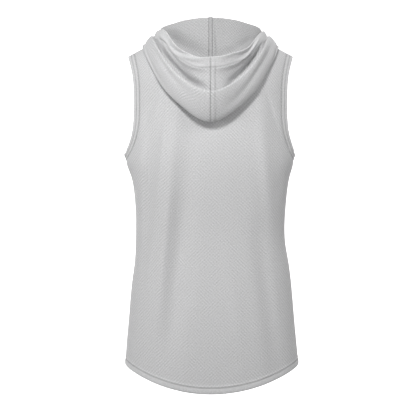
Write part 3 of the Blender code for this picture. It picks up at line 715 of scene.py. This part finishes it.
def stitch_row(lines):
    """Stitches along several lines: each a short thread with tapered ends. Returns points and faces."""
    rings = np.linspace(-1, 1, STITCH_RINGS)[:, None, None]
    thick = THREAD * np.sqrt(1 - STITCH_TAPER * rings ** 2)
    turn = np.linspace(0, 2 * np.pi, STITCH_SIDES, endpoint=False)[:, None]
    size = STITCH_RINGS * STITCH_SIDES
    body = grid_faces(STITCH_RINGS, STITCH_SIDES, ring_columns=True)
    caps = [np.arange(STITCH_SIDES), np.arange(size - 1, size - 1 - STITCH_SIDES, -1)]
    points, faces = [], []
    total = 0
    for line, normals in lines:
        length = along(line)
        stops = np.arange(STITCH_PITCH / 2, length[-1] - STITCH_PITCH / 2, STITCH_PITCH)
        at = read_line(line, length, stops)
        way = unit(read_line(line, length, stops + STITCH_PITCH / 4) - at)
        up = read_line(normals, length, stops)
        up = unit(up - way * np.sum(up * way, axis=1, keepdims=True))
        beside = np.cross(way, up)
        at, way, up, beside = (vector[:, None, None] for vector in (at, way, up, beside))
        place = at + way * rings * STITCH / 2 + (beside * np.cos(turn) + up * np.sin(turn)) * thick
        shift = total + np.arange(len(stops))[:, None] * size
        faces += (shift[..., None] + body).reshape(-1, 4).tolist()
        for cap in caps:
            faces += (shift + cap).tolist()
        points.append(place.reshape(-1, 3))
        total += len(stops) * size
    return np.concatenate(points), faces


def make_stitches(name, lines):
    """One piece for all the stitches along the given lines."""
    points, faces = stitch_row(lines)
    piece = new_piece(name, points, faces)
    return piece


def stitch_line(face, normals, row, column):
    """The line of the stitches' middles over the given grid places of a face, and its normals."""
    up = normals[row, column]
    return face[row, column] + up * THREAD * THREAD_LIFT, up


def make_seam_strip(name, inner, normals, to_rim):
    """The pressed seam inside the hood: a low band over the centre seam, from the neck to the turned rim.
    Across it y and z go as squares of x, like the cloth below, and each stitch line is a groove. Returns the
    piece and its stitch lines."""
    rows = slice(SEAM_STRIP_START, np.argmin(np.abs(to_rim[:, 0] - HOOD_HEM)))
    centre, aside, up = inner[rows, 0], inner[rows, BOW_COLUMN], -normals[rows, 0]
    share = np.linspace(-1, 1, SEAM_STRIP_POINTS)
    x = share * SEAM_STRIP_HALF
    bow = (aside - centre) / aside[:, :1] ** 2
    base = centre[:, None] + bow[:, None] * x[:, None] ** 2
    base[..., 0] = x
    top = SEAM_STRIP_HEIGHT * (1 - share ** SEAM_STRIP_SQUARE) + profile(STRIP_RELIEF, np.abs(x))
    off = np.concatenate([top, np.full(len(x), -SEAM_STRIP_SUNK)])
    grid = np.concatenate([base, base[:, ::-1]], axis=1) + up[:, None] * off[:, None]
    shape = grid.shape[:2]
    across = np.concatenate([x, x[::-1]])
    cloth = np.stack([np.broadcast_to(across, shape), np.broadcast_to(along(centre)[:, None], shape),
                      np.full(shape, STRIP_TURNED)], axis=-1)
    # painted shade of the wrong side and along the strip's stitch lines and edges, and the strip drawn darker
    # again
    painted_shade = np.broadcast_to(WRONG_SIDE_PAINTED_SHADE + STRIP_DARKER + profile(STRIP_PAINTED_SHADE, np.abs(across)), shape)
    index = np.arange(shape[0] * shape[1]).reshape(shape)
    faces = grid_faces(*shape, ring_columns=True).tolist() + [index[0].tolist(), index[-1][::-1].tolist()]
    piece = new_piece(name, grid, faces, cloth, painted_shade)
    lines = []
    for side in (LEFT, RIGHT):
        at = np.argmin(np.abs(x - side * SEAM_STRIP_LINE))
        lines.append((grid[:, at] + up * THREAD * STRIP_THREAD_LIFT, up))
    return piece, lines


# ---- materials ----
class Value:
    """A socket's output in a node tree. Arithmetic on it adds Math nodes."""

    def __init__(self, tree, socket):
        self.tree, self.socket = tree, socket

    def math(self, operation, *others):
        return self.tree.node("ShaderNodeMath", {"operation": operation}, [self, *others])

    def __add__(self, other):
        return self.math("ADD", other)

    def __sub__(self, other):
        return self.math("SUBTRACT", other)

    def __rsub__(self, other):
        return self.tree.node("ShaderNodeMath", {"operation": "SUBTRACT"}, [other, self])

    def __mul__(self, other):
        return self.math("MULTIPLY", other)

    __radd__, __rmul__ = __add__, __mul__

    def sine(self):
        return self.math("SINE")

    def clamp(self):
        """Kept between 0 and 1."""
        return self.tree.node("ShaderNodeClamp", {}, [self])


class Finish:
    """A material with a Principled surface, and the method that makes any other node in it."""

    def __init__(self, name):
        self.material = bpy.data.materials.new(name)
        self.material.use_nodes = True
        self.nodes, self.links = self.material.node_tree.nodes, self.material.node_tree.links
        self.surface = self.nodes["Principled BSDF"].inputs

    def node(self, kind, settings, inputs, output=0):
        """A node of the given type: its settings first, then its sockets, each a number or a Value."""
        made = self.nodes.new(kind)
        for key, value in settings.items():
            setattr(made, key, value)
        pairs = inputs.items() if isinstance(inputs, dict) else enumerate(inputs)
        for key, value in pairs:
            if isinstance(value, Value):
                self.links.new(value.socket, made.inputs[key])
            else:
                made.inputs[key].default_value = value
        return Value(self, made.outputs[output])

    def set(self, **values):
        """Sets sockets of the surface by name, each to a number or a Value."""
        for key, value in values.items():
            socket = self.surface[key.replace("_", " ").title()]
            if isinstance(value, Value):
                self.links.new(value.socket, socket)
            else:
                socket.default_value = value


def knit_finish(name, colour, turned_colour):
    """Matt knit: two families of fine diagonal ribs that trade places over the cloth, a soft speckle, and the
    painted shade and painted highlight of the cloth's attribute.
    """
    m = Finish(name)
    cloth = m.node("ShaderNodeAttribute", {"attribute_name": "cloth"}, {}, output="Vector")
    split = m.node("ShaderNodeSeparateXYZ", {}, [cloth])
    across, down, turned = (Value(m, split.socket.node.outputs[k]) for k in range(3))
    painted_shade = m.node("ShaderNodeAttribute", {"attribute_name": "painted_shade"}, {}, output="Fac")

    def noise(spots, detail):
        """Unevenness about 0, with the given number of spots to the metre of cloth."""
        inputs = {"Vector": cloth, "Scale": spots, "Detail": detail}
        return m.node("ShaderNodeTexNoise", {"noise_dimensions": "3D"}, inputs) - 0.5

    waver, patch, worn, speck = noise(60.0, 1.0), noise(24.0, 2.0), noise(75.0, 2.0), noise(400.0, 3.0)
    turns = 2 * math.pi / (LATTICE_PITCH * math.sqrt(2))
    rising = ((across + down) * turns + waver * RIB_WAVER).sine() * 0.5 + 0.5
    falling = ((across - down) * turns + waver * RIB_WAVER).sine() * 0.5 + 0.5
    to_left = (patch * RIB_PATCHES - across * RIB_TRADE + 0.5).clamp()
    to_right = (patch * -RIB_PATCHES + across * RIB_TRADE + 0.5).clamp()
    clear = (worn * RIB_WEAR + RIB_CLEAR).clamp()
    rising = rising * (to_left * (1 - RIB_LEAST) + RIB_LEAST)
    falling = falling * (to_right * (1 - RIB_LEAST) + RIB_LEAST)
    ribs = (rising + falling - RIB_MIDDLE) * (clear * (1 - RIB_FAINT) + RIB_FAINT) * (1 - turned)
    # the painted shade darkens the colour along stitches, seams and the wrong side, and its negative values
    # paint a highlight on the hem's ridge
    shade = ribs * RIB_SHADE + speck * SPECK_SHADE - painted_shade * PAINTED_SHADE_SHARE + 1
    colours = {"Factor": turned, "A": colour, "B": turned_colour}
    base = m.node("ShaderNodeMix", {"data_type": "RGBA"}, colours, output=2)
    height = ribs * RIB_HEIGHT + speck * SPECK_HEIGHT
    relief = {"Strength": BUMP_STRENGTH, "Distance": BUMP_HEIGHT, "Height": height}
    bump = m.node("ShaderNodeBump", {}, relief)
    tint = m.node("ShaderNodeVectorMath", {"operation": "MULTIPLY"}, [base, shade])
    m.set(base_color=tint, normal=bump, roughness=0.92, sheen_weight=0.25, sheen_roughness=0.5)
    m.surface["Specular IOR Level"].default_value = 0.2
    return m.material


def thread_finish(name, colour):
    """Matt sewing thread."""
    m = Finish(name)
    place = m.node("ShaderNodeTexCoord", {}, {}, output="Object")
    speck = m.node("ShaderNodeTexNoise", {}, {"Vector": place, "Scale": 1500.0, "Detail": 1.0}) - 0.5
    tint = m.node("ShaderNodeVectorMath", {"operation": "MULTIPLY"}, [colour, speck * THREAD_SHADE + 1])
    m.set(base_color=tint, roughness=0.8)
    return m.material


# ---- the garment ----
def make_garment():
    """All pieces of the top, with their materials."""
    knit = knit_finish("knit", (0.56, 0.56, 0.565, 1), (0.60, 0.60, 0.605, 1))
    binding = knit_finish("binding", (0.58, 0.58, 0.585, 1), (0.60, 0.60, 0.605, 1))
    thread = thread_finish("thread", (0.46, 0.46, 0.465))

    back = make_panel("back_cloth", "back_panel", BACK)
    front = make_panel("front_cloth", "front_panel", FRONT)
    strips = [
        make_strip("armhole_strip_left", "armhole_band_left", back, front, 0),
        make_strip("armhole_strip_right", "armhole_band_right", back, front, -1)]
    edge = neck_edge(panel_grid(BACK), panel_grid(FRONT))
    hoods = [
        make_hood("hood_cloth_left", "hood_left", edge, LEFT),
        make_hood("hood_cloth_right", "hood_right", edge, RIGHT)]

    lines = []
    for _, outer, normals, height in (back, front):
        row = np.argmin(np.abs(height[:, height.shape[1] // 2] - HEM_GROOVE))
        lines.append(stitch_line(outer, normals, row, slice(None)))
    stitches = [
        make_stitches("hem_stitches", lines),
        make_stitches("armhole_stitches", [strip[1:] for strip in strips])]
    lines = []
    for _, outer, _, normals, _, to_rim in hoods:
        row = np.argmin(np.abs(to_rim - HOOD_HEM), axis=0)
        lines.append(stitch_line(outer, normals, row, np.arange(len(row))))
    stitches.append(make_stitches("hood_hem_stitches", lines))
    _, outer, inner, normals, run, to_rim = hoods[1]
    seam_strip, lines = make_seam_strip("hood_seam_strip", inner, normals, to_rim)
    column = np.argmin(np.abs(run - ALLOWANCE), axis=1)
    lines.append(stitch_line(outer, normals, np.arange(len(column)), column))
    stitches.append(make_stitches("hood_seam_stitches", lines))

    cloths = [back[0], front[0], hoods[0][0], hoods[1][0], seam_strip]
    for material, pieces in ((knit, cloths), (binding, [strip[0] for strip in strips]), (thread, stitches)):
        for piece in pieces:
            piece.data.materials.append(material)


# ---- studio ----
FLOOR_LEVEL = -1.15
FLOOR_START = -4.0
SWEEP_HALF = 3.0
WALL_START = 2.6            # where the floor starts to bend up behind the garment
WALL_BEND = 0.8
WALL_TOP = 2.6
PAPER = (0.74, 0.74, 0.74, 1)
GLOW = 0.95                 # how strongly the paper glows behind the garment
GLOW_START = 0.6            # distance at which the glow begins, and the ramp to its full strength
GLOW_RAMP = 0.8
SKY = 0.22                  # even light from all sides
CAMERA_PLACE = (-0.001, -3.0, -0.3354)
CAMERA_LENS = 131.9
LIGHTS = [
    # name, place, point it faces, size, watts
    ("key", (-0.27, -1.28, 0.66), (0.0, 0.0, 0.14), 0.30, 16),
    ("side", (-1.80, -0.90, -0.10), (0.0, 0.0, -0.30), 0.5, 10.5),
    ("fill", (1.6, -1.3, 0.8), (0.0, 0.0, 0.10), 1.0, 13),
    ("top", (0.0, 0.3, 2.2), (0.0, 0.0, 0.0), 1.4, 4),
    ("far_side", (1.2, 2.2, 1.2), (0.0, 0.0, -0.3), 1.8, 12),
]


def make_sweep():
    """Pale paper: a floor that bends up into a wall, which glows where it lies behind the garment."""
    turn = np.linspace(0, np.pi / 2, 17)
    bend = [WALL_START + WALL_BEND * np.sin(turn), FLOOR_LEVEL + WALL_BEND * (1 - np.cos(turn))]
    line = np.concatenate([
        [(FLOOR_START, FLOOR_LEVEL)], np.stack(bend, axis=-1), [(WALL_START + WALL_BEND, WALL_TOP)]])
    points = [(x, y, z) for y, z in line for x in (-SWEEP_HALF, SWEEP_HALF)]
    mesh = bpy.data.meshes.new("sweep")
    mesh.from_pydata(points, [], grid_faces(len(line), 2).tolist())
    mesh.shade_smooth()
    sweep = bpy.data.objects.new("sweep", mesh)
    bpy.context.scene.collection.objects.link(sweep)
    paper = Finish("paper")
    place = paper.node("ShaderNodeTexCoord", {}, {}, output="Object")
    behind = paper.node("ShaderNodeSeparateXYZ", {}, [place], output="Y")
    glow = ((behind - GLOW_START) * (1 / GLOW_RAMP)).clamp()
    paper.set(base_color=PAPER, emission_color=glow, emission_strength=GLOW, roughness=0.9)
    mesh.materials.append(paper.material)


def make_lights():
    """Soft lamps, strongest from above and from the left, and an even light from all sides."""
    world = bpy.data.worlds.new("studio")
    world.use_nodes = True
    sky = world.node_tree.nodes["Background"].inputs
    sky["Color"].default_value = (1, 1, 1, 1)
    sky["Strength"].default_value = SKY
    bpy.context.scene.world = world
    for name, place, aim, size, power in LIGHTS:
        light = bpy.data.lights.new(name, "AREA")
        light.size, light.energy = size, power
        lamp = bpy.data.objects.new(name, light)
        lamp.location = place
        x, y, z = np.array(aim) - np.array(place)
        lamp.rotation_euler = (math.atan2(math.hypot(x, y), -z), 0, math.atan2(y, x) - math.pi / 2)
        bpy.context.scene.collection.objects.link(lamp)


def make_camera():
    """The camera, level and straight behind the wearer."""
    camera = bpy.data.cameras.new("camera")
    camera.lens, camera.sensor_width = CAMERA_LENS, 36
    view = bpy.data.objects.new("camera", camera)
    view.location, view.rotation_euler = CAMERA_PLACE, (math.pi / 2, 0, 0)
    bpy.context.scene.collection.objects.link(view)
    bpy.context.scene.camera = view
    bpy.context.scene.view_settings.view_transform = "Standard"


# ---- the scene ----
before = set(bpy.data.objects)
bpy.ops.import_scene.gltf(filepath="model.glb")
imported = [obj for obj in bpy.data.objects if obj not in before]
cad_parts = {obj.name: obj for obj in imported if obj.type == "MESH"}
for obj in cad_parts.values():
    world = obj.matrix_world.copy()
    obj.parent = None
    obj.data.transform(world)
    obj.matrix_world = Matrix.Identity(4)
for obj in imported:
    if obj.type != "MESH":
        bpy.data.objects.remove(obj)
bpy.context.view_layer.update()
make_garment()
make_sweep()
make_lights()
make_camera()
